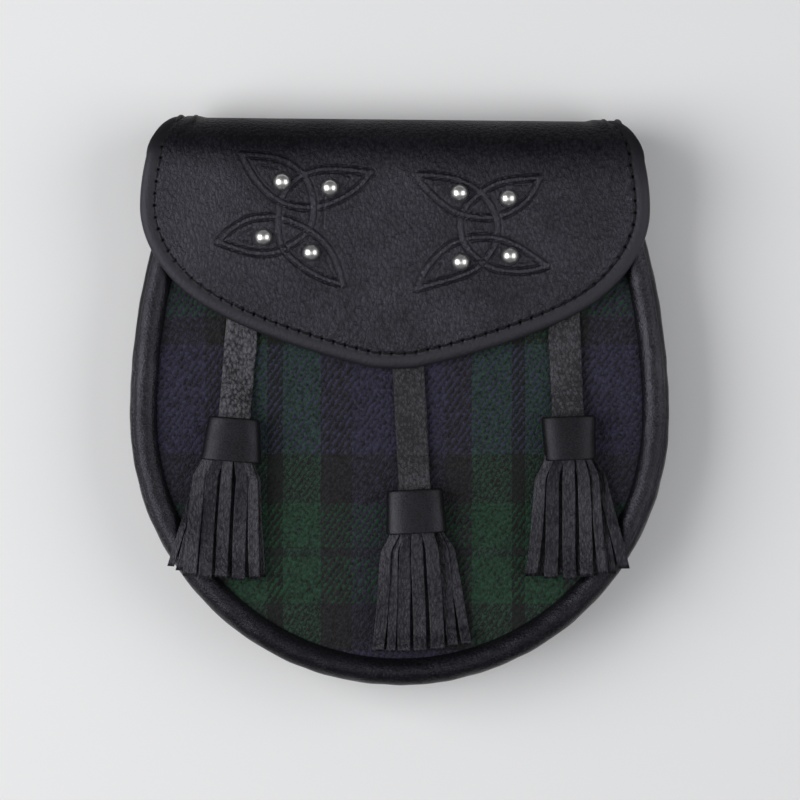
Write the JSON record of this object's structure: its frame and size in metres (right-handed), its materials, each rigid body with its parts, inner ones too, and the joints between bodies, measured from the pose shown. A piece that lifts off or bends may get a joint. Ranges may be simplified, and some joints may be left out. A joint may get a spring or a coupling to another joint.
{
  "type": "sporran pouch",
  "caption": "Round-bottomed leather pouch with a tartan front, a stitched fold-over flap tooled with knots and set with domed studs, and leather tassels on straps.",
  "frame": {"origin": "on the back's outer face, under the middle of the pouch's box", "axes": "+Z out of the pouch's front, +Y from the round bottom up to the fold, +X to the right seen from the front"},
  "size_m": [0.1896, 0.2004, 0.0377],
  "materials": {
    "flap_leather": "black grained leather, satin",
    "gusset_leather": "black smooth leather, satin",
    "strap_leather": "black grained leather, satin",
    "tassel_leather": "black smooth leather, satin",
    "tartan": "woollen twill in navy, dark green and black",
    "nickel": "polished nickel plate"
  },
  "bodies": {
    "root": {"back_and_flap": "flap_leather", "gusset": "gusset_leather", "tartan_front": "tartan", "closure_stud": "nickel", "strap_left": "strap_leather", "tassel_left": "tassel_leather", "strap_middle": "strap_leather", "tassel_middle": "tassel_leather", "strap_right": "strap_leather", "tassel_right": "tassel_leather", "stud_1": "nickel", "stud_2": "nickel", "stud_3": "nickel", "stud_4": "nickel", "stud_5": "nickel", "stud_6": "nickel", "stud_7": "nickel", "stud_8": "nickel"}
  },
  "joints": []
}
